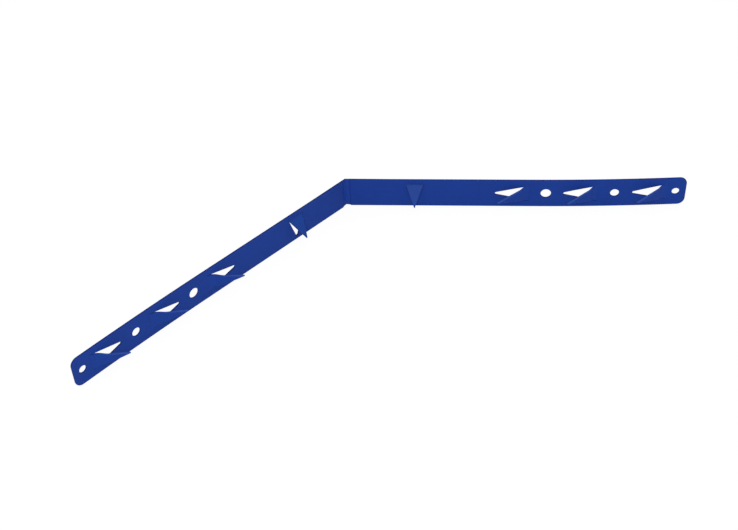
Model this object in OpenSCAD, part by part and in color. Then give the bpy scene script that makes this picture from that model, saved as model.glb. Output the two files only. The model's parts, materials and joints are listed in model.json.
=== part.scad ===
// Folding strip sock aid: one flat plastic strip that a thin web lets fold in half.
// Triangular tabs stand out of windows in the strip to catch the cuff of a sock.
// The strip stands on its lower long edge. The fold line is the Z axis, the right arm
// runs along +X, and the inside of the fold, where the tabs stand out, faces -Y.

/* [Strip] */
// Width of the strip, which is its height as it stands on edge
strip_w = 35; // [30:0.5:45]
// Thickness of the strip and of its tabs
strip_t = 1.8; // [1.2:0.1:2.6]
// Length of one arm, from the fold line to its end
arm_len = 364; // [330:1:450]
// Radius of the corners at the end of an arm
corner_r = 8; // [3:0.5:12]

/* [Bow] */
// Distance from the fold line at which an arm starts to bow
bow_start = 200; // [120:5:240]
// Radius at which the right arm bows away from the inside of the fold
right_bow_r = 2200; // [1200:50:6000]
// Radius at which the left arm bows towards the inside of the fold
left_bow_r = 4000; // [1200:50:6000]

/* [Fold] */
// Angle by which the arms are folded at rest, 0 being a straight strip
fold_angle = 49.5; // [0:0.5:90]
// Width of the thin web between the two arms
web_w = 9; // [5:0.5:12]
// Thickness of the web, which lies flush with the outside of the strip
web_t = 0.7; // [0.4:0.1:1]
// Depth of the round relief notch at the bottom of the web
web_notch = 2; // [1:0.5:4]
// Length of the ramp on which the inside of an arm thins down to the web
web_ramp = 0.8; // [0.4:0.1:2]

/* [Outer tabs] */
// Length of a tab from its crease to its tip
outer_tab_len = 38; // [28:0.5:42]
// Width of the strip left above and below the crease of a tab
outer_tab_band = 7.75; // [5:0.25:11]
// Angles by which the tabs of the right arm stand out of the strip, from the fold to the end
right_tab_angles = [28, 29, 28]; // [10:1:45]
// Angles by which the tabs of the left arm stand out of the strip, from the fold to the end
left_tab_angles = [30, 24, 29]; // [10:1:45]
// Distance from one crease to the next
outer_tab_pitch = 73; // [60:1:85]
// Distance from the end of the arm to the nearest crease
outer_tab_end = 21; // [18:0.5:40]

/* [Inner tabs] */
// Distance from the fold line to the middle of a tab
inner_tab_station = 75; // [50:1:100]
// Width of a tab along its crease
inner_tab_w = 19; // [14:0.5:24]
// Distance from the upper edge of the strip down to the crease
inner_tab_top = 6.2; // [4:0.2:9]
// Distance from the lower edge of the strip up to the tip of a tab that is pressed flat
inner_tab_below = 3.2; // [2:0.2:8]
// Angle by which a tab stands out of the strip
inner_tab_angle = 39; // [10:1:60]

/* [Tab cut] */
// Radius of the tip of every tab
tab_tip_r = 0.4; // [0.3:0.1:1]
// Radius of the tip of every window, which ends before the tip of its tab
window_tip_r = 1.6; // [1:0.1:3]
// Gap between the sides of a tab and its window
tab_gap = 0.4; // [0.3:0.05:0.8]
// Gap between the round root of a tab and its window
root_gap = 0.2; // [0.15:0.05:0.4]

/* [Holes] */
// Distance from a crease to the hole beyond it
hole_offset = 18.4; // [14:0.2:22]
// Diameter of the hole next to the first outer tab
inner_hole_d = 11; // [7:0.5:14]
// Diameter of the hole next to the second outer tab
middle_hole_d = 9.4; // [6:0.2:14]
// Diameter of the hole at the end of the arm
end_hole_d = 8; // [5:0.5:9]
// Distance from the end of the arm to its end hole
end_hole_inset = 11; // [8:0.5:13]

/* [Hidden] */

strip_blue = [0.13, 0.23, 0.53];
web_blue = [0.16, 0.27, 0.58];
tab_blue = [0.17, 0.29, 0.57];
outer_tab_count = 3;
toward_fold = -90;
downward = 180;
through = 1;
tip_step = 15;
bow_fn = 3600;
$fn = 64;

web_half = web_w / 2;
notch_r = (pow(web_half, 2) + pow(web_notch, 2)) / (2 * web_notch);
outer_face = web_t / 2;
inner_face = outer_face - strip_t;
strip_mid = (inner_face + outer_face) / 2;
root_r = strip_t / 2;
mid_height = strip_w / 2;
outer_tab_w = strip_w - 2 * outer_tab_band;
inner_tab_crease = strip_w - inner_tab_top;
inner_tab_len = inner_tab_crease - inner_tab_below;
first_crease = arm_len - outer_tab_end - (outer_tab_count - 1) * outer_tab_pitch;
creases = [for (k = [0 : outer_tab_count - 1]) first_crease + k * outer_tab_pitch];

// Half of the angle at the tip of a tab, whose sides run from its crease to its round tip
function tip_half_angle(width, len) =
    let (reach = len - tab_tip_r, slant = norm([width / 2, reach]))
    atan2(width / 2, reach) - asin(tab_tip_r / slant);

// Outline of a tab that points along +Y, or of its window, whose sides lie a gap further out.
// It is carried back past the crease, and its tip is rounded to a radius.
function tab_outline(width, len, tip_r, gap, back) =
    let (
        half_angle = tip_half_angle(width, len),
        root = width / 2 + gap / cos(half_angle) + back * tan(half_angle),
        tip_mid = len - tab_tip_r + (tab_tip_r + gap - tip_r) / sin(half_angle),
        steps = ceil((180 - 2 * half_angle) / tip_step),
        turn = (180 - 2 * half_angle) / steps
    )
    concat(
        [[-root, -back], [root, -back]],
        [for (k = [0 : steps]) let (a = half_angle + k * turn)
            [tip_r * cos(a), tip_mid + tip_r * sin(a)]]
    );

// Angle by which the bow has turned an arm at a distance from the fold line
function bow_turn(station) = max(0, station - bow_start) / $bow_r * 180 / PI;

// Puts a shape drawn flat onto an arm, with its +Z out of the inner face
module on_arm(station, height, turn) {
    translate([min(station, bow_start), strip_mid + $bow_r, height]) rotate([0, 0, bow_turn(station)])
        translate([0, -$bow_r, 0]) rotate([0, turn, 0]) rotate([90, 0, 0]) children();
}

// A bow radius above 0 leads away from the inside of the fold, and one below 0 towards it
module right_side() {
    $bow_r = right_bow_r;
    $tab_angles = right_tab_angles;
    children();
}

module left_side() {
    $bow_r = -left_bow_r;
    $tab_angles = left_tab_angles;
    rotate([0, 0, fold_angle]) mirror([1, 0, 0]) children();
}

// Straight part of an arm, whose inside thins down to the web on a ramp
module straight_part() {
    linear_extrude(strip_w) polygon([
        [web_half, outer_face - web_t], [web_half + web_ramp, inner_face], [bow_start, inner_face],
        [bow_start, outer_face], [web_half, outer_face]
    ]);
}

// Bowed part of an arm, up to its end
module bowed_part() {
    translate([bow_start, strip_mid + $bow_r, 0]) rotate([0, 0, -90 * sign($bow_r)])
        rotate_extrude(angle = bow_turn(arm_len), $fn = bow_fn)
            translate([abs($bow_r) - root_r, 0]) square([strip_t, strip_w]);
}

// Waste outside the round upper corner at the end of an arm
module corner_waste() {
    linear_extrude(strip_t + 2 * through, center = true) translate([-corner_r, -corner_r])
        difference() {
            square(corner_r + through);
            circle(corner_r);
        }
}

// Window that a tab leaves in the strip
module tab_window(width, len) {
    linear_extrude(strip_t + 2 * through, center = true)
        polygon(tab_outline(width, len, window_tip_r, tab_gap, root_r + root_gap));
}

// Tab with a round root along its crease, standing out by an angle
module tab(width, len, angle) {
    rotate([angle, 0, 0]) intersection() {
        linear_extrude(strip_t + 2 * through, center = true)
            polygon(tab_outline(width, len, tab_tip_r, 0, root_r));
        rotate([90, 0, 90]) linear_extrude(2 * width, center = true) {
            circle(root_r);
            translate([0, -root_r]) square([len + through, strip_t]);
        }
    }
}

module outer_tab(k) {
    on_arm(creases[k], mid_height, toward_fold) tab(outer_tab_w, outer_tab_len, $tab_angles[k]);
}

module inner_tab() {
    on_arm(inner_tab_station, inner_tab_crease, downward)
        tab(inner_tab_w, inner_tab_len, inner_tab_angle);
}

module round_hole(station, diameter) {
    on_arm(station, mid_height, 0)
        cylinder(h = strip_t + 2 * through, d = diameter, center = true);
}

module arm() {
    difference() {
        union() {
            straight_part();
            bowed_part();
        }
        on_arm(arm_len, strip_w, 0) corner_waste();
        on_arm(arm_len, 0, 0) mirror([0, 1, 0]) corner_waste();
        on_arm(inner_tab_station, inner_tab_crease, downward) tab_window(inner_tab_w, inner_tab_len);
        for (crease = creases)
            on_arm(crease, mid_height, toward_fold) tab_window(outer_tab_w, outer_tab_len);
        round_hole(creases[0] + hole_offset, inner_hole_d);
        round_hole(creases[1] + hole_offset, middle_hole_d);
        round_hole(arm_len - end_hole_inset, end_hole_d);
    }
}

// Half of the web, from the fold line to an arm
module web_leaf() {
    difference() {
        translate([0, outer_face - web_t, 0]) cube([web_half, web_t, strip_w]);
        translate([0, 0, web_notch - notch_r]) rotate([90, 0, 0])
            cylinder(h = web_t + 2 * through, r = notch_r, center = true);
    }
}

module right_arm() color(strip_blue) right_side() arm();

module left_arm() color(strip_blue) left_side() arm();

// The two leaves of the web meet in a round crease on the fold line
module fold_web() {
    color(web_blue) {
        right_side() web_leaf();
        left_side() web_leaf();
        translate([0, 0, web_notch]) cylinder(h = strip_w - 2 * web_notch, d = web_t);
    }
}

module right_inner_tab() color(tab_blue) right_side() inner_tab();

module left_inner_tab() color(tab_blue) left_side() inner_tab();

module right_outer_tab(k) color(tab_blue) right_side() outer_tab(k);

module left_outer_tab(k) color(tab_blue) left_side() outer_tab(k);

right_arm();
left_arm();
fold_web();
right_inner_tab();
left_inner_tab();
right_outer_tab(0);  // right_outer_tab_1
right_outer_tab(1);  // right_outer_tab_2
right_outer_tab(2);  // right_outer_tab_3
left_outer_tab(0);  // left_outer_tab_1
left_outer_tab(1);  // left_outer_tab_2
left_outer_tab(2);  // left_outer_tab_3
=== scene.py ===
"""Looks of the folding strip sock aid: satin blue strip, bent tabs, fold film and a white studio."""
import json
from math import asin, atan2, cos, degrees, hypot, pi, radians, sin, sqrt, tan

import bmesh
import bpy
from bpy.props import FloatProperty, FloatVectorProperty, IntProperty, PointerProperty
from mathutils import Matrix, Vector


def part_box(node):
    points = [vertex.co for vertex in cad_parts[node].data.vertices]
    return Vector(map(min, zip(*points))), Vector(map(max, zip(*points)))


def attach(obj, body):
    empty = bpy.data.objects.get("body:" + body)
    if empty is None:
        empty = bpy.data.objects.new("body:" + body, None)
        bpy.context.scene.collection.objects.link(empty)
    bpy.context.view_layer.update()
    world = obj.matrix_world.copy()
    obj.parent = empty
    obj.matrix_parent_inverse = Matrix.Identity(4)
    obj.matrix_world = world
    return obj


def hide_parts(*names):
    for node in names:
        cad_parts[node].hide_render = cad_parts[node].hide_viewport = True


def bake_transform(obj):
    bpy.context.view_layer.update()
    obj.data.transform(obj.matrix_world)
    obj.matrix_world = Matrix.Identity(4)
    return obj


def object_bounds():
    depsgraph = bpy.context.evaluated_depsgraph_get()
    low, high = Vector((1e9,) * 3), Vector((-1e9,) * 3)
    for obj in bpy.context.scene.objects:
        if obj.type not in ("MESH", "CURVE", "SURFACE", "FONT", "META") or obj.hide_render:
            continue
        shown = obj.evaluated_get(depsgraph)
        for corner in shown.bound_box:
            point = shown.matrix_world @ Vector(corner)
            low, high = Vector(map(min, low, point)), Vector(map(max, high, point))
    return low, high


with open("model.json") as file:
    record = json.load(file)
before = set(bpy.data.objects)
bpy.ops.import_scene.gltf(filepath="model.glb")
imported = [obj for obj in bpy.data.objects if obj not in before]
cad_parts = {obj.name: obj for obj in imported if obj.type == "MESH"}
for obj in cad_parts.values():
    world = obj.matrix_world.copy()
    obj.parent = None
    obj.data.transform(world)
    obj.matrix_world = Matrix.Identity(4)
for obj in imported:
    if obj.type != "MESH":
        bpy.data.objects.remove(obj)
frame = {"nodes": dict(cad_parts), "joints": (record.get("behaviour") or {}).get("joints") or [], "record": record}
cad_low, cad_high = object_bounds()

bl_info = {
    "name": "Folding strip sock aid",
    "version": (1, 0, 0),
    "blender": (4, 5, 0),
    "location": "View3D > Sidebar > Sock aid",
    "description": "Dresses the strip, its bent tabs and its fold film, and sets up a white studio",
    "category": "Object",
}

MM = 0.001
SIDES = ("right", "left")
DOWN = Vector((0, 0, -1))
WHITE = (1.0, 1.0, 1.0, 1.0)
JOINTS = {joint["name"]: joint for joint in frame["joints"]}
MOUNTS = {mount["name"]: mount for mount in frame["record"]["mounts"]}
STRIP_T = MOUNTS["right_end_hole"]["dims"]["length_mm"] * MM
WEB_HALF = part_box("right_arm")[0].x
WEB_T = 2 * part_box("fold_web")[1].y
FLEX = "_flex"
OUTER_TABS = [name[:-len(FLEX)] for name in JOINTS if "outer_tab" in name]
INNER_TABS = [name[:-len(FLEX)] for name in JOINTS if "inner_tab" in name]

# Distances within which points count as the same place, from the closest to the roughest
EXACT = 0.001 * MM
MERGED = 0.005 * MM
NEAR = 0.01 * MM
BESIDE = 0.1 * MM

# Rounding and smoothing of the rims
RIM_ROWS = 3
ROUND_PROFILE = 0.5
RIM_ANGLE = radians(55)
SMOOTH_ANGLE = radians(35)

# Surface of the plastic: index and gloss, fine grain, broad mottle, rubs and the tone of the bends, which is
# whitening on the tabs and painted shade in the fold groove
PLASTIC_IOR = 1.49
SPECULAR = 0.04
GLOSS_SPREAD = 0.05
GRAIN_SCALE = 2600.0
GRAIN_DETAIL = 3.0
GRAIN_ROUGHNESS = 0.6
GRAIN_STRENGTH = 0.12
GRAIN_DEPTH = 0.05 * MM
MOTTLE_SCALE = 38.0
MOTTLE_DETAIL = 2.0
MOTTLE_DARK = 0.92
MOTTLE_PALE = 1.08
RUB_SCALE = (60.0, 60.0, 900.0)
RUB_DETAIL = 4.0
RUB_FROM = 0.62
RUB_TO = 0.78
RUB_PALE = 1.5
FACE_RUBS = 0.5
RIM_RUBS = 0.3
BEND_SHARE = 0.6

# Colour sockets of a Mix node, which share their names with its other sockets
MIX_SHARE, MIX_FIRST, MIX_SECOND, MIX_RESULT = 0, 6, 7, 2


class SockAidSizes(bpy.types.PropertyGroup):
    """Small sizes of the finish, which the frame doesn't hold."""

    strip_round: FloatProperty(
        name="Strip rounding", description="Radius of the rounded rims of the strip",
        default=0.45 * MM, unit="LENGTH")
    tab_round: FloatProperty(
        name="Tab rounding", description="Radius of the rounded rims of the tabs",
        default=0.3 * MM, unit="LENGTH")
    # Widths of the band of painted highlight on a long tab's upper rim
    rim_at_root: FloatProperty(
        name="Rim at root", description="Width of the paler band on a long tab's upper rim at its bend",
        default=0.3 * MM, unit="LENGTH")
    rim_at_tip: FloatProperty(
        name="Rim at tip", description="Width of the paler band on a long tab's upper rim at its tip",
        default=1.2 * MM, unit="LENGTH")
    film_round: FloatProperty(
        name="Film rounding", description="Radius of the rounded rims of the fold film",
        default=0.12 * MM, unit="LENGTH")
    bow_step: FloatProperty(
        name="Bow step", description="Length of a row of faces along the bowed part of an arm",
        default=8 * MM, unit="LENGTH")
    right_crease: FloatProperty(
        name="Right creases", description="Length over which a long tab of the right arm turns out",
        default=10.5 * MM, unit="LENGTH")
    left_crease: FloatProperty(
        name="Left creases", description="Length over which a long tab of the left arm turns out",
        default=17 * MM, unit="LENGTH")
    inner_crease: FloatProperty(
        name="Inner crease", description="Length over which a short tab turns out of the strip",
        default=1.4 * MM, unit="LENGTH")
    crease_rows: IntProperty(
        name="Crease rows", description="Rows of faces across the bend of a tab or of the film",
        default=8)
    leaf_rows: IntProperty(
        name="Leaf rows", description="Rows of faces on each flat side of the film", default=5)
    tip_round: FloatProperty(
        name="Tab tip", description="Radius of the tip of a tab", default=0.4 * MM, unit="LENGTH")
    tip_rows: IntProperty(
        name="Tip rows", description="Rows of faces round the tip of a tab", default=6)
    root_gap: FloatProperty(
        name="Root gap", description="Gap of the solids between the round root of a tab and its window",
        default=0.2 * MM, unit="LENGTH")
    side_gap: FloatProperty(
        name="Side gap", description="Gap of the solids between the sides of a tab and its window",
        default=0.4 * MM, unit="LENGTH")
    root_fillet: FloatProperty(
        name="Root fillet", description="Length over which the root of a tab widens to fill its window",
        default=2.5 * MM, unit="LENGTH")
    ramp: FloatProperty(
        name="Ramp", description="Length over which an arm thins down to the fold film",
        default=1 * MM, unit="LENGTH")
    film_bend: FloatProperty(
        name="Film bend", description="Half of the width over which the fold film bends",
        default=1.2 * MM, unit="LENGTH")
    film_notch: FloatProperty(
        name="Film notch", description="Depth of the round notch in the lower edge of the fold film",
        default=0.5 * MM, unit="LENGTH")
    film_shade: FloatProperty(
        name="Film shade", description="Width of the darker line where the fold film meets the left arm",
        default=2.4 * MM, unit="LENGTH")


class SockAidColours(bpy.types.PropertyGroup):
    """Colours and gloss of the plastic, with painted shade on the rims of the strip and film and in the fold
    groove, and painted light on the short tabs and the upper rims of the long tabs.
    """

    face: FloatVectorProperty(
        name="Face", description="Blue of the moulded faces", subtype="COLOR", size=3,
        min=0, max=1, default=(0.0098, 0.0390, 0.240))
    # Painted light: the short tabs are paler for the light they catch
    short_tab: FloatVectorProperty(
        name="Short tabs", description="Paler blue of the short tabs", subtype="COLOR", size=3,
        min=0, max=1, default=(0.0112, 0.0440, 0.238))
    # Painted shade: the rims of the strip and the film are darker for the shade on them
    strip_rim: FloatVectorProperty(
        name="Strip rims", description="Darker blue of the rims of the strip", subtype="COLOR", size=3,
        min=0, max=1, default=(0.0080, 0.0210, 0.165))
    # Painted highlight along the upper rims of the long tabs
    tab_rim: FloatVectorProperty(
        name="Tab rims", description="Paler blue along the upper rims of the long tabs",
        subtype="COLOR", size=3, min=0, max=1, default=(0.0262, 0.0655, 0.302))
    film: FloatVectorProperty(
        name="Film", description="Paler blue of the thin fold film", subtype="COLOR", size=3,
        min=0, max=1, default=(0.0122, 0.0452, 0.274))
    crease: FloatVectorProperty(
        name="Crease", description="Paler blue where a long tab turns out of the strip",
        subtype="COLOR", size=3, min=0, max=1, default=(0.0118, 0.0450, 0.262))
    # Painted shade in the corner of the groove at the fold
    groove_painted_shade: FloatVectorProperty(
        name="Groove", description="Darker blue in the corner of the groove at the fold",
        subtype="COLOR", size=3, min=0, max=1, default=(0.0060, 0.0180, 0.150))
    gloss: FloatProperty(
        name="Roughness", description="Roughness of the satin faces", subtype="FACTOR",
        min=0, max=1, default=0.38)


class SockAidStage(bpy.types.PropertyGroup):
    """Camera, floor, surroundings and lamps of the studio."""

    camera_place: FloatVectorProperty(
        name="Camera place", description="Where the camera stands", subtype="TRANSLATION", size=3,
        default=(0.12092, -1.05461, 0.83808))
    camera_turn: FloatVectorProperty(
        name="Camera turn", description="How the camera is turned", subtype="EULER", size=3,
        default=(radians(48.802), radians(2.275), radians(3.410)))
    lens: FloatProperty(
        name="Lens", description="Focal length of the camera in millimetres", default=60.23)
    sensor: FloatProperty(
        name="Sensor", description="Width of the camera's sensor in millimetres", default=36.0)
    floor: FloatVectorProperty(
        name="Floor", description="Colour of the floor", subtype="COLOR", size=3,
        min=0, max=1, default=(0.90, 0.90, 0.90))
    floor_size: FloatProperty(
        name="Floor size", description="Length of the sides of the floor", default=14.0, unit="LENGTH")
    floor_white: FloatProperty(
        name="Floor white", description="Strength of the white that the camera sees on the floor",
        default=1.02)
    floor_share: FloatProperty(
        name="Floor share", description="Share of that white, which leaves the rest to the shadow",
        subtype="FACTOR", min=0, max=1, default=0.9)
    ambient: FloatProperty(
        name="Ambient", description="Strength of the white surroundings", default=0.70)
    front_place: FloatVectorProperty(
        name="Front lamp place", description="Where the front lamp hangs, from the middle of the strip",
        subtype="TRANSLATION", size=3, default=(0.0, -1.65, 1.52))
    front_size: FloatProperty(
        name="Front lamp size", description="Diameter of the front lamp", default=0.85, unit="LENGTH")
    front_power: FloatProperty(
        name="Front lamp power", description="Power of the front lamp", default=19.0, unit="POWER")
    top_place: FloatVectorProperty(
        name="Top lamp place", description="Where the top lamp hangs, from the middle of the strip",
        subtype="TRANSLATION", size=3, default=(0.1, 0.0, 1.5))
    top_size: FloatProperty(
        name="Top lamp size", description="Diameter of the top lamp", default=1.2, unit="LENGTH")
    top_power: FloatProperty(
        name="Top lamp power", description="Power of the top lamp", default=3.5, unit="POWER")


def settings():
    """The add-on's property groups, which the scene holds."""
    scene = bpy.context.scene
    return scene.sock_aid_sizes, scene.sock_aid_colours, scene.sock_aid_stage


def smooth_step(share):
    """Eases a share from 0 to 1."""
    share = min(1.0, max(0.0, share))
    return share * share * (3 - 2 * share)


def edit(piece):
    """Makes a piece the only selected one and opens it in edit mode with nothing selected."""
    bpy.ops.object.select_all(action="DESELECT")
    bpy.context.view_layer.objects.active = piece
    piece.select_set(True)
    bpy.ops.object.mode_set(mode="EDIT")
    bpy.ops.mesh.select_all(action="DESELECT")


def leave_edit():
    """Closes edit mode."""
    bpy.ops.object.mode_set(mode="OBJECT")


def pick(piece, kind, test):
    """Selects, in edit mode, the vertices, edges or faces that pass a test."""
    bpy.ops.mesh.select_mode(type={"verts": "VERT", "edges": "EDGE", "faces": "FACE"}[kind])
    bpy.ops.mesh.select_all(action="DESELECT")
    mesh = bmesh.from_edit_mesh(piece.data)
    for element in getattr(mesh, kind):
        if test(element):
            element.select_set(True)
    mesh.select_flush_mode()
    bmesh.update_edit_mesh(piece.data)


def is_sharp(edge):
    """True for a rim, where two faces meet at a steep angle."""
    return len(edge.link_faces) == 2 and edge.calc_face_angle() > RIM_ANGLE


def round_edges(piece, radius, test):
    """Rounds the rims that pass a test."""
    edit(piece)
    pick(piece, "edges", lambda edge: is_sharp(edge) and test(edge))
    bpy.ops.mesh.bevel(offset=radius, offset_type="OFFSET", segments=RIM_ROWS, profile=ROUND_PROFILE,
                       clamp_overlap=False)
    leave_edit()


def cut(point, direction):
    """Cuts the open mesh along a plane, with both sides kept."""
    bpy.ops.mesh.select_all(action="SELECT")
    bpy.ops.mesh.bisect(plane_co=point, plane_no=direction)


def finish_mesh(piece, materials, on_face):
    """Gives faces that pass a test the first material and the rest the second, and smooths the rims."""
    piece.data.materials.clear()
    for material in materials:
        piece.data.materials.append(material)
    for polygon in piece.data.polygons:
        polygon.material_index = 0 if on_face(polygon) else 1
    bpy.ops.object.select_all(action="DESELECT")
    bpy.context.view_layer.objects.active = piece
    piece.select_set(True)
    bpy.ops.object.shade_smooth_by_angle(angle=SMOOTH_ANGLE)
    flat = piece.modifiers.new("flat_faces", "WEIGHTED_NORMAL")
    flat.keep_sharp = True
    bpy.ops.object.modifier_apply(modifier=flat.name)


def hinge(tab):
    """Place and direction of the line on which a tab turns."""
    joint = JOINTS[tab + FLEX]
    return Vector(joint["pos_m"]), Vector(joint["axis"]).normalized()


class Bow:
    """Gentle bow of one arm, read off its holes, with the way to straighten it and to bow it again."""

    def __init__(self, side):
        middle, end = MOUNTS[side + "_middle_hole"], MOUNTS[side + "_end_hole"]
        place, along = hinge(side + "_inner_tab")
        self.inward = along.cross(DOWN)
        self.ahead = self.inward.cross(DOWN)
        if self.ahead.dot(place) < 0:
            self.ahead = -self.ahead
        turns = [asin(Vector(hole["axis"]).dot(self.ahead)) for hole in (middle, end)]
        chord = (Vector(end["pos_m"]) - Vector(middle["pos_m"])).length
        self.radius = chord / (2 * sin((turns[1] - turns[0]) / 2))
        self.end = Vector(end["pos_m"])
        self.centre = self.end - Vector(end["axis"]) * self.radius
        self.start = self.centre.dot(self.ahead)

    def station(self, point):
        """Distance of a point from the fold line along the arm."""
        return point.dot(self.ahead)

    def straighten(self, point):
        """Where a point of the bowed arm lies once the arm is straight."""
        offset = point - self.centre
        ahead, inward = offset.dot(self.ahead), offset.dot(self.inward)
        if ahead <= 0:
            return point.copy()
        sign = 1 if self.radius > 0 else -1
        turn = atan2(ahead, inward * sign)
        depth = sign * hypot(ahead, inward)
        return point + self.ahead * (abs(self.radius) * turn - ahead) + self.inward * (depth - inward)

    def bend(self, point):
        """Where a point of the straight arm lies once the arm is bowed."""
        offset = point - self.centre
        ahead, depth = offset.dot(self.ahead), offset.dot(self.inward)
        if ahead <= 0:
            return point.copy()
        turn = ahead / abs(self.radius)
        forward = abs(depth) * sin(turn) - ahead
        sideways = depth * cos(turn) - depth
        return point + self.ahead * forward + self.inward * sideways


def tab_frame(tab):
    """Crease frame of a tab: its place, the crease, the way a flat tab would point, and three sizes.

    The sizes are the angle by which the tab stands out, its length and the half width of its root.
    """
    place, along = hinge(tab)
    points = [vertex.co - place for vertex in frame["nodes"][tab].data.vertices]
    reach = [point - along * point.dot(along) for point in points]
    far = max(vector.length for vector in reach)
    ends = [vector for vector in reach if vector.length > far - NEAR]
    tip = sum(ends, Vector()) / len(ends)
    flush = DOWN
    if tab in OUTER_TABS:
        bow = Bow(tab.split("_")[0])
        ahead = bow.bend(bow.straighten(place) + bow.ahead * MM) - place
        flush = -(ahead - along * ahead.dot(along)).normalized()
    half_root = max(abs(point.dot(along)) for point in points)
    return place, along, flush, flush.angle(tip), tip.length, half_root


def place_matrix(place, along, flush):
    """Matrix that carries a plate drawn along +Y, with its crease on X, to its place."""
    out = along.cross(flush)
    turn = Matrix((along, flush, out)).transposed().to_4x4()
    return Matrix.Translation(place) @ turn


def bent_plate(name, rows, angle, bend, thickness):
    """Extrudes a flat plate row by row along +Y, bends it about the X axis and gives it its thickness.

    rows holds the distance along Y and the two ends along X of each row, and bend the first and
    last distance of the bend.
    """
    bpy.ops.object.select_all(action="DESELECT")
    bpy.ops.mesh.primitive_plane_add(size=2)
    piece = bpy.context.object
    piece.name = name
    piece.data.name = name
    edit(piece)
    for side, row in ((-1, rows[0]), (1, rows[1])):
        pick(piece, "verts", lambda vertex: is_corner(vertex, side))
        fit_row((side, -1, 1), row)
    for last, row in zip(rows[1:], rows[2:]):
        bpy.ops.mesh.extrude_region_move()
        fit_row(last, row)
    pick(piece, "verts", lambda vertex: True)
    bpy.ops.mesh.remove_doubles(threshold=MERGED)
    for distance, _, _ in rows:
        share = smooth_step((distance - bend[0]) / (bend[1] - bend[0]))
        if 0 < share < 1:
            pick(piece, "verts", lambda vertex: on_row(vertex, distance))
            turn_selected(angle * share)
    pick(piece, "verts", lambda vertex: vertex.co.z == 0 and vertex.co.y > bend[1] - EXACT)
    turn_selected(angle)
    leave_edit()
    solid = piece.modifiers.new("thickness", "SOLIDIFY")
    solid.thickness = thickness
    solid.offset = 0
    solid.use_even_offset = True
    bpy.ops.object.modifier_apply(modifier=solid.name)
    edit(piece)
    bpy.ops.mesh.select_all(action="SELECT")
    bpy.ops.mesh.normals_make_consistent(inside=False)
    leave_edit()
    return piece


def is_corner(vertex, side):
    """True for a corner of the new plane, two units wide, on the side with the given Y."""
    return abs(vertex.co.y - side) < MM and abs(abs(vertex.co.x) - 1) < MM


def fit_row(last, row):
    """Moves the selected row of a flat plate from its last distance and ends to new ones."""
    last_distance, last_low, last_high = last
    distance, low, high = row
    growth = (high - low) / (last_high - last_low)
    bpy.ops.transform.resize(value=(growth, 1, 1), center_override=(0, 0, 0))
    bpy.ops.transform.translate(value=(low - growth * last_low, distance - last_distance, 0))


def on_row(vertex, distance):
    """True for a vertex that still lies flat on a row of a plate."""
    return vertex.co.z == 0 and abs(vertex.co.y - distance) < EXACT


def turn_selected(angle):
    """Turns what is selected about the X axis, from +Y towards +Z."""
    bpy.ops.transform.rotate(value=-angle, orient_axis="X", center_override=(0, 0, 0))


def mark_crease(piece, line, width):
    """Stores how near each point of a bent plate lies to a line at a given distance from its crease."""
    mark = piece.data.attributes.new("crease", "FLOAT", "POINT")
    for vertex in piece.data.vertices:
        distance = hypot(vertex.co.y, vertex.co.z) * (1 if vertex.co.y > 0 else -1)
        mark.data[vertex.index].value = 1 - smooth_step(abs(distance - line) / width)


def put_in_place(piece, matrix):
    """Moves a finished mesh to its place, with its object left at the origin."""
    piece.matrix_world = matrix
    bpy.ops.object.select_all(action="DESELECT")
    bpy.context.view_layer.objects.active = piece
    piece.select_set(True)
    bpy.ops.object.transform_apply(location=True, rotation=True, scale=True)


def socket(group, name, direction, kind, default=None):
    """Adds a named socket to a node group."""
    made = group.interface.new_socket(name=name, in_out=direction, socket_type=kind)
    if default is not None:
        made.default_value = default


def add_node(tree, kind, **values):
    """Adds a node and sets its properties."""
    made = tree.nodes.new(kind)
    for name, value in values.items():
        setattr(made, name, value)
    return made


def mix_colours(tree, share, first, second):
    """Adds a mix of two colours and returns its result. Each input is a socket or a plain value."""
    mix = add_node(tree, "ShaderNodeMix", data_type="RGBA")
    for place, value in ((MIX_SHARE, share), (MIX_FIRST, first), (MIX_SECOND, second)):
        if isinstance(value, bpy.types.NodeSocket):
            tree.links.new(value, mix.inputs[place])
        else:
            mix.inputs[place].default_value = value
    return mix.outputs[MIX_RESULT]


def grain_group():
    """Shader group: fine moulded grain as a height, and a broad soft mottle, both from 0 to 1."""
    name = "moulded_grain"
    if name in bpy.data.node_groups:
        return bpy.data.node_groups[name]
    group = bpy.data.node_groups.new(name, "ShaderNodeTree")
    socket(group, "Vector", "INPUT", "NodeSocketVector")
    socket(group, "Grain Scale", "INPUT", "NodeSocketFloat", GRAIN_SCALE)
    socket(group, "Mottle Scale", "INPUT", "NodeSocketFloat", MOTTLE_SCALE)
    socket(group, "Height", "OUTPUT", "NodeSocketFloat")
    socket(group, "Mottle", "OUTPUT", "NodeSocketFloat")
    start = add_node(group, "NodeGroupInput")
    end = add_node(group, "NodeGroupOutput")
    grain = add_node(group, "ShaderNodeTexNoise")
    grain.inputs["Detail"].default_value = GRAIN_DETAIL
    grain.inputs["Roughness"].default_value = GRAIN_ROUGHNESS
    mottle = add_node(group, "ShaderNodeTexNoise")
    mottle.inputs["Detail"].default_value = MOTTLE_DETAIL
    link = group.links.new
    link(start.outputs["Vector"], grain.inputs["Vector"])
    link(start.outputs["Grain Scale"], grain.inputs["Scale"])
    link(start.outputs["Vector"], mottle.inputs["Vector"])
    link(start.outputs["Mottle Scale"], mottle.inputs["Scale"])
    link(grain.outputs["Fac"], end.inputs["Height"])
    link(mottle.outputs["Fac"], end.inputs["Mottle"])
    return group


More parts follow.
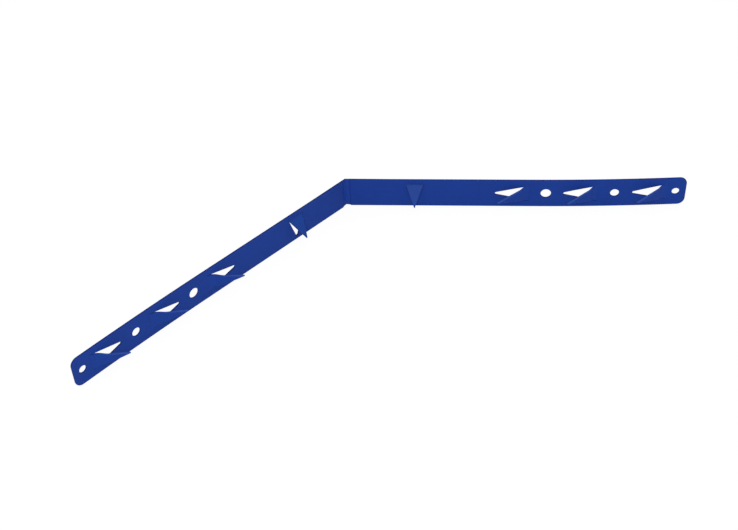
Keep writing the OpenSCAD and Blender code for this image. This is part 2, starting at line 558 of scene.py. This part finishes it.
def scuff_group():
    """Shader group: faint rub marks that run along the strip, as a mask from 0 to 1."""
    name = "handling_rubs"
    if name in bpy.data.node_groups:
        return bpy.data.node_groups[name]
    group = bpy.data.node_groups.new(name, "ShaderNodeTree")
    socket(group, "Vector", "INPUT", "NodeSocketVector")
    socket(group, "Amount", "INPUT", "NodeSocketFloat", FACE_RUBS)
    socket(group, "Mask", "OUTPUT", "NodeSocketFloat")
    start = add_node(group, "NodeGroupInput")
    end = add_node(group, "NodeGroupOutput")
    stretch = add_node(group, "ShaderNodeMapping")
    stretch.inputs["Scale"].default_value = RUB_SCALE
    streaks = add_node(group, "ShaderNodeTexNoise")
    streaks.inputs["Scale"].default_value = 1.0
    streaks.inputs["Detail"].default_value = RUB_DETAIL
    keep = add_node(group, "ShaderNodeMapRange")
    keep.inputs["From Min"].default_value = RUB_FROM
    keep.inputs["From Max"].default_value = RUB_TO
    scale = add_node(group, "ShaderNodeMath", operation="MULTIPLY")
    link = group.links.new
    link(start.outputs["Vector"], stretch.inputs["Vector"])
    link(stretch.outputs["Vector"], streaks.inputs["Vector"])
    link(streaks.outputs["Fac"], keep.inputs["Value"])
    link(keep.outputs["Result"], scale.inputs[0])
    link(start.outputs["Amount"], scale.inputs[1])
    link(scale.outputs["Value"], end.inputs["Mask"])
    return group


def scaled(colour, factor):
    """A colour made darker or paler, with its alpha."""
    return (*[min(1.0, channel * factor) for channel in colour], 1.0)


def satin_plastic(name, colour, rubs, bend=None):
    """Procedural satin plastic: mottle, fine grain, faint rubs and, if given, a tone for its bends, which is
    whitening on the long tabs and painted shade in the fold groove on the film.
    """
    if name in bpy.data.materials:
        return bpy.data.materials[name]
    gloss = settings()[1].gloss
    material = bpy.data.materials.new(name)
    material.use_nodes = True
    tree = material.node_tree
    shader = tree.nodes["Principled BSDF"]
    shader.inputs["IOR"].default_value = PLASTIC_IOR
    shader.inputs["Specular IOR Level"].default_value = SPECULAR
    link = tree.links.new
    place = add_node(tree, "ShaderNodeTexCoord")
    grain = add_node(tree, "ShaderNodeGroup", node_tree=grain_group())
    grain.inputs["Grain Scale"].default_value = GRAIN_SCALE
    grain.inputs["Mottle Scale"].default_value = MOTTLE_SCALE
    link(place.outputs["Object"], grain.inputs["Vector"])
    scuffs = add_node(tree, "ShaderNodeGroup", node_tree=scuff_group())
    scuffs.inputs["Amount"].default_value = rubs
    link(place.outputs["Object"], scuffs.inputs["Vector"])
    mottle = grain.outputs["Mottle"]
    surface = mix_colours(tree, mottle, scaled(colour, MOTTLE_DARK), scaled(colour, MOTTLE_PALE))
    surface = mix_colours(tree, scuffs.outputs["Mask"], surface, scaled(colour, RUB_PALE))
    # The bend tone: whitening on the long tabs, painted shade in the corner of the fold groove on the film
    if bend:
        mark = add_node(tree, "ShaderNodeAttribute", attribute_name="crease")
        strength = add_node(tree, "ShaderNodeMath", operation="MULTIPLY")
        strength.inputs[1].default_value = BEND_SHARE
        link(mark.outputs["Fac"], strength.inputs[0])
        surface = mix_colours(tree, strength.outputs["Value"], surface, (*bend, 1.0))
    link(surface, shader.inputs["Base Color"])
    rough = add_node(tree, "ShaderNodeMapRange")
    rough.inputs["To Min"].default_value = gloss - GLOSS_SPREAD
    rough.inputs["To Max"].default_value = gloss + GLOSS_SPREAD
    link(mottle, rough.inputs["Value"])
    link(rough.outputs["Result"], shader.inputs["Roughness"])
    bump = add_node(tree, "ShaderNodeBump")
    bump.inputs["Strength"].default_value = GRAIN_STRENGTH
    bump.inputs["Distance"].default_value = GRAIN_DEPTH
    link(grain.outputs["Height"], bump.inputs["Height"])
    link(bump.outputs["Normal"], shader.inputs["Normal"])
    return material


def plastics(kind, face, rim, bend=None):
    """The two materials of a kind of piece, for its faces and its rims, with the tone of its bends; the rim colour
    is painted shade on the strip and film and a painted highlight on the long tabs.
    """
    return (satin_plastic(kind + "_face", face, FACE_RUBS, bend),
            satin_plastic(kind + "_rim", rim, RIM_RUBS, bend))


class SOCKAID_OT_strips(bpy.types.Operator):
    """Finish both arms of the strip with rounded rims, on merged copies of their solids"""

    bl_idname = "sockaid.strips"
    bl_label = "Strips"

    def execute(self, context):
        for side in SIDES:
            self.finish_arm(side)
        return {"FINISHED"}

    def finish_arm(self, side):
        """Straightens a copy of one arm, rounds its rims and bows it again.

        The rims stay sharp where a tab or the film joins the arm.
        """
        sizes, colours, _ = settings()
        arm = side + "_arm"
        flat_angle = radians(0.1)
        piece = bpy.data.objects.new(side + "_strip", frame["nodes"][arm].data.copy())
        bpy.context.scene.collection.objects.link(piece)
        bow = Bow(side)
        for vertex in piece.data.vertices:
            vertex.co = bow.straighten(vertex.co)
        edit(piece)
        bpy.ops.mesh.select_all(action="SELECT")
        bpy.ops.mesh.remove_doubles(threshold=EXACT)
        bpy.ops.mesh.dissolve_limited(angle_limit=flat_angle)
        leave_edit()
        roots = [self.straight_root(tab, bow) for tab in OUTER_TABS + INNER_TABS if tab.startswith(side)]
        back = STRIP_T / 2 + sizes.root_gap

        def free_rim(edge):
            """True for a rim that joins neither a tab nor the film."""
            middle = (edge.verts[0].co + edge.verts[1].co) / 2
            for place, along, flush, half_root in roots:
                offset = middle - place
                if abs(offset.dot(flush) + back) < BESIDE and abs(offset.dot(along)) < half_root:
                    return False
            return bow.station(middle) > WEB_HALF + BESIDE

        round_edges(piece, sizes.strip_round, free_rim)
        edit(piece)
        station = bow.start
        while station < bow.station(bow.end):
            cut(bow.ahead * station, bow.ahead)
            station += sizes.bow_step
        leave_edit()
        for vertex in piece.data.vertices:
            vertex.co = bow.bend(vertex.co)
        # The rims take the darker rim blue: painted shade along the rims of the strip
        materials = plastics("strip", colours.face, colours.strip_rim)
        finish_mesh(piece, materials, lambda polygon: self.is_face(polygon, bow))
        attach(piece, arm)
        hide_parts(arm)

    def is_face(self, polygon, bow):
        """True for the broad faces of an arm and for the slope where it thins down to the fold film."""
        facing = 0.9
        upright = 0.5
        broad = abs(polygon.normal.dot(bow.inward)) > facing
        on_slope = bow.station(polygon.center) < WEB_HALF + settings()[0].ramp
        return broad or (on_slope and abs(polygon.normal.z) < upright)

    def straight_root(self, tab, bow):
        """Crease of a tab on the straightened arm: its place, its two directions and its half width."""
        place, along, flush, _, _, half_root = tab_frame(tab)
        straight_place = bow.straighten(place)
        straight_flush = (bow.straighten(place + flush * MM) - straight_place).normalized()
        return straight_place, along, straight_flush, half_root


class SOCKAID_OT_fold_film(bpy.types.Operator):
    """Model the thin film that joins the two arms, bent at the fold"""

    bl_idname = "sockaid.fold_film"
    bl_label = "Fold film"

    def execute(self, context):
        sizes, colours, _ = settings()
        joint = JOINTS["fold"]
        place, along = Vector(joint["pos_m"]), Vector(joint["axis"])
        angle = radians(-joint["range_deg"][0])
        low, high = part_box("fold_web")
        place.z = (low.z + high.z) / 2
        flush = Vector((-1, 0, 0))
        half = (high.z - low.z) / 2
        notch_r = (WEB_HALF ** 2 + sizes.film_notch ** 2) / (2 * sizes.film_notch)
        leaf_step = (WEB_HALF - sizes.film_bend) / sizes.leaf_rows
        leaf = [WEB_HALF - leaf_step * row for row in range(sizes.leaf_rows)]
        bend_step = 2 * sizes.film_bend / sizes.crease_rows
        bend = [bend_step * row - sizes.film_bend for row in range(sizes.crease_rows + 1)]
        rows = []
        for distance in [-far for far in leaf] + bend + leaf[::-1]:
            notch = sizes.film_notch - notch_r + sqrt(notch_r ** 2 - distance ** 2)
            rows.append((distance, -half + notch, half))
        piece = bent_plate("fold_film", rows, angle, (-sizes.film_bend, sizes.film_bend), WEB_T)
        # The mark near the left arm carries the groove blue: painted shade in the corner of the fold groove
        mark_crease(piece, WEB_HALF, sizes.film_shade)
        round_edges(piece, sizes.film_round, self.runs_across)
        # The film's rims take the darker rim blue: painted shade
        materials = plastics("film", colours.film, colours.strip_rim, colours.groove_painted_shade)
        finish_mesh(piece, materials, self.is_face)
        put_in_place(piece, place_matrix(place, along, flush))
        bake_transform(piece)
        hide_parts("fold_web")
        return {"FINISHED"}

    def runs_across(self, edge):
        """True for an edge that runs from one arm towards the other."""
        return abs(edge.verts[0].co.y - edge.verts[1].co.y) > NEAR

    def is_face(self, polygon):
        """True for the broad faces of the film, before it is put in place."""
        facing_along = 0.6
        return abs(polygon.normal.x) < facing_along


def model_tabs(tabs, crease_len, materials):
    """Models one tab for each angle at which tabs stand out, and copies it to the other creases."""
    patterns = {}
    for tab in tabs:
        place, along, flush, angle, length, half_root = tab_frame(tab)
        kind = round(degrees(angle))
        if kind not in patterns:
            patterns[kind] = model_tab(angle, length, half_root, crease_len, round(along.z), materials)
        piece = bpy.data.objects.new(tab + "_bent", patterns[kind].data.copy())
        bpy.context.scene.collection.objects.link(piece)
        put_in_place(piece, place_matrix(place, along, flush))
        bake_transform(piece)
        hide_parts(tab)
    for pattern in patterns.values():
        bpy.data.objects.remove(pattern)


def model_tab(angle, length, half_root, crease_len, top, materials):
    """One bent tab, drawn along +Y with its crease on X: root, bend, straight sides and round tip.

    top is the direction along X in which the upper rim lies, or 0 on a tab that points down.
    """
    sizes = settings()[0]
    tip_r = sizes.tip_round
    centre = length - tip_r
    root_r = STRIP_T / 2
    back = root_r + sizes.root_gap
    slant = hypot(half_root, centre + root_r)
    half_angle = atan2(half_root, centre + root_r) - asin(tip_r / slant)

    def half_width(distance):
        """Half of the width at a distance from the crease, with the root widened to fill its window."""
        fill = sizes.side_gap / cos(half_angle) * (1 - smooth_step(distance / sizes.root_fillet))
        return half_root - (distance + root_r) * tan(half_angle) + fill

    halves = [(-back, half_width(-back))]
    after_bend = 1.5
    for step in range(sizes.crease_rows + 1):
        distance = crease_len * step / sizes.crease_rows
        halves.append((distance, half_width(distance)))
    halves.append((crease_len * after_bend, half_width(crease_len * after_bend)))
    for step in range(sizes.tip_rows):
        turn = half_angle + (pi / 2 - half_angle) * step / sizes.tip_rows
        halves.append((centre + tip_r * sin(turn), tip_r * cos(turn)))
    halves.append((length, EXACT))
    rows = [(distance, -half, half) for distance, half in halves]
    piece = bent_plate("tab", rows, angle, (0, crease_len), STRIP_T)
    mark_crease(piece, crease_len / 2, crease_len)
    round_edges(piece, sizes.tab_round, lambda edge: max(v.co.y for v in edge.verts) > -back + NEAR)
    # The band along the upper rim takes the paler rim blue: a painted highlight
    band = [(crease_len, half_width(crease_len) - sizes.rim_at_root),
            (centre, half_width(centre) - sizes.rim_at_tip)]
    start, upward = highlight_band_plane(angle, top, band)
    if top:
        edit(piece)
        cut(start, upward)
        leave_edit()
    finish_mesh(piece, materials, lambda polygon: (polygon.center - start).dot(upward) <= 0)
    return piece


def highlight_band_plane(angle, top, band):
    """Point and direction of the plane that parts the band of painted highlight along a tab's upper rim from its
    face.

    band holds the distance along the tab and the half width at both ends of the plane.
    """
    ahead = Vector((0, cos(angle), sin(angle)))
    out = Vector((0, -sin(angle), cos(angle)))
    start, end = [ahead * distance + Vector((top * half, 0, 0)) for distance, half in band]
    return start, (end - start).cross(out).normalized() * top


class SOCKAID_OT_outer_tabs(bpy.types.Operator):
    """Model the long tabs that point to the fold"""

    bl_idname = "sockaid.outer_tabs"
    bl_label = "Outer tabs"

    def execute(self, context):
        sizes, colours, _ = settings()
        # The upper rims of the long tabs take the paler rim blue: a painted highlight
        materials = plastics("long_tab", colours.face, colours.tab_rim, colours.crease)
        for side, crease_len in zip(SIDES, (sizes.right_crease, sizes.left_crease)):
            model_tabs([tab for tab in OUTER_TABS if tab.startswith(side)], crease_len, materials)
        return {"FINISHED"}


class SOCKAID_OT_inner_tabs(bpy.types.Operator):
    """Model the short tabs next to the fold that point down"""

    bl_idname = "sockaid.inner_tabs"
    bl_label = "Inner tabs"

    def execute(self, context):
        sizes, colours, _ = settings()
        # The short tabs take a paler blue: painted light
        plastic = satin_plastic("short_tab_face", colours.short_tab, FACE_RUBS)
        model_tabs(INNER_TABS, sizes.inner_crease, [plastic])
        return {"FINISHED"}


class SOCKAID_OT_stage(bpy.types.Operator):
    """Set up the camera, the white floor and surroundings, and the soft lamps"""

    bl_idname = "sockaid.stage"
    bl_label = "Stage"

    def execute(self, context):
        stage = settings()[2]
        context.scene.view_settings.view_transform = "Standard"
        self.add_camera(context, stage)
        self.add_floor(stage)
        self.add_surroundings(context, stage)
        self.add_lamp("front_softbox", stage.front_place, stage.front_size, stage.front_power)
        self.add_lamp("top_softbox", stage.top_place, stage.top_size, stage.top_power)
        return {"FINISHED"}

    def add_camera(self, context, stage):
        """Stands the camera where it sees the strip as in the picture."""
        data = bpy.data.cameras.new("camera")
        data.sensor_width = stage.sensor
        data.lens = stage.lens
        camera = bpy.data.objects.new("camera", data)
        camera.location = stage.camera_place
        camera.rotation_euler = stage.camera_turn
        context.scene.collection.objects.link(camera)
        context.scene.camera = camera

    def add_floor(self, stage):
        """Lays the floor, which looks white and keeps the shadow of the strip."""
        bpy.ops.object.select_all(action="DESELECT")
        bpy.ops.mesh.primitive_plane_add(size=stage.floor_size, location=(0, 0, cad_low.z))
        floor = bpy.context.object
        floor.name = "floor"
        material = bpy.data.materials.new("white_floor")
        material.use_nodes = True
        tree = material.node_tree
        tree.nodes.clear()
        end = add_node(tree, "ShaderNodeOutputMaterial")
        mix = add_node(tree, "ShaderNodeMixShader")
        paint = add_node(tree, "ShaderNodeBsdfDiffuse")
        paint.inputs["Color"].default_value = (*stage.floor, 1.0)
        white = add_node(tree, "ShaderNodeEmission")
        white.inputs["Strength"].default_value = stage.floor_white
        share = add_node(tree, "ShaderNodeMath", operation="MULTIPLY")
        share.inputs[1].default_value = stage.floor_share
        tree.links.new(seen_rays(tree), share.inputs[0])
        tree.links.new(share.outputs["Value"], mix.inputs["Fac"])
        tree.links.new(paint.outputs["BSDF"], mix.inputs[1])
        tree.links.new(white.outputs["Emission"], mix.inputs[2])
        tree.links.new(mix.outputs["Shader"], end.inputs["Surface"])
        floor.data.materials.append(material)

    def add_surroundings(self, context, stage):
        """Surrounds the stage with white, which lights it at a lower strength."""
        world = bpy.data.worlds.new("surroundings")
        context.scene.world = world
        world.use_nodes = True
        tree = world.node_tree
        tree.nodes.clear()
        end = add_node(tree, "ShaderNodeOutputWorld")
        mix = add_node(tree, "ShaderNodeMixShader")
        light = add_node(tree, "ShaderNodeBackground")
        light.inputs["Color"].default_value = WHITE
        light.inputs["Strength"].default_value = stage.ambient
        white = add_node(tree, "ShaderNodeBackground")
        white.inputs["Color"].default_value = WHITE
        tree.links.new(seen_rays(tree), mix.inputs["Fac"])
        tree.links.new(light.outputs["Background"], mix.inputs[1])
        tree.links.new(white.outputs["Background"], mix.inputs[2])
        tree.links.new(mix.outputs["Shader"], end.inputs["Surface"])

    def add_lamp(self, name, offset, size, power):
        """Hangs a round lamp at an offset from the middle of the strip, and points it there."""
        middle = (cad_low + cad_high) / 2
        data = bpy.data.lights.new(name, "AREA")
        data.shape = "DISK"
        data.size = size
        data.energy = power
        lamp = bpy.data.objects.new(name, data)
        lamp.location = middle + Vector(offset)
        lamp.rotation_euler = (-Vector(offset)).to_track_quat("-Z", "Y").to_euler()
        bpy.context.scene.collection.objects.link(lamp)


def seen_rays(tree):
    """Socket that is 1 for rays seen by the camera, in gloss or through glass, and 0 for light."""
    path = add_node(tree, "ShaderNodeLightPath")
    seen = path.outputs["Is Camera Ray"]
    for kind in ("Is Glossy Ray", "Is Transmission Ray"):
        either = add_node(tree, "ShaderNodeMath", operation="MAXIMUM")
        tree.links.new(seen, either.inputs[0])
        tree.links.new(path.outputs[kind], either.inputs[1])
        seen = either.outputs["Value"]
    return seen


class VIEW3D_PT_sock_aid(bpy.types.Panel):
    """Lists the pieces of the sock aid, its sizes, its colours and its stage"""

    bl_label = "Sock aid"
    bl_idname = "VIEW3D_PT_sock_aid"
    bl_space_type = "VIEW_3D"
    bl_region_type = "UI"
    bl_category = "Sock aid"

    def draw(self, context):
        for operator in OPERATORS:
            self.layout.operator(operator.bl_idname)
        for group in settings():
            box = self.layout.box()
            for name in group.__annotations__:
                box.prop(group, name)


OPERATORS = (
    SOCKAID_OT_strips,
    SOCKAID_OT_fold_film,
    SOCKAID_OT_outer_tabs,
    SOCKAID_OT_inner_tabs,
    SOCKAID_OT_stage,
)
GROUPS = (SockAidSizes, SockAidColours, SockAidStage)
POINTERS = ("sock_aid_sizes", "sock_aid_colours", "sock_aid_stage")


def register():
    """Registers the classes and hangs the property groups on the scene."""
    for entry in (*GROUPS, *OPERATORS, VIEW3D_PT_sock_aid):
        bpy.utils.register_class(entry)
    for pointer, group in zip(POINTERS, GROUPS):
        setattr(bpy.types.Scene, pointer, PointerProperty(type=group))


def unregister():
    """Takes the property groups and the classes away again."""
    for pointer in POINTERS:
        delattr(bpy.types.Scene, pointer)
    for entry in reversed((*GROUPS, *OPERATORS, VIEW3D_PT_sock_aid)):
        bpy.utils.unregister_class(entry)


def main():
    """Builds the dressed sock aid and its stage."""
    register()
    bpy.ops.sockaid.strips()
    bpy.ops.sockaid.fold_film()
    bpy.ops.sockaid.outer_tabs()
    bpy.ops.sockaid.inner_tabs()
    bpy.ops.sockaid.stage()


if __name__ == "__main__":
    main()
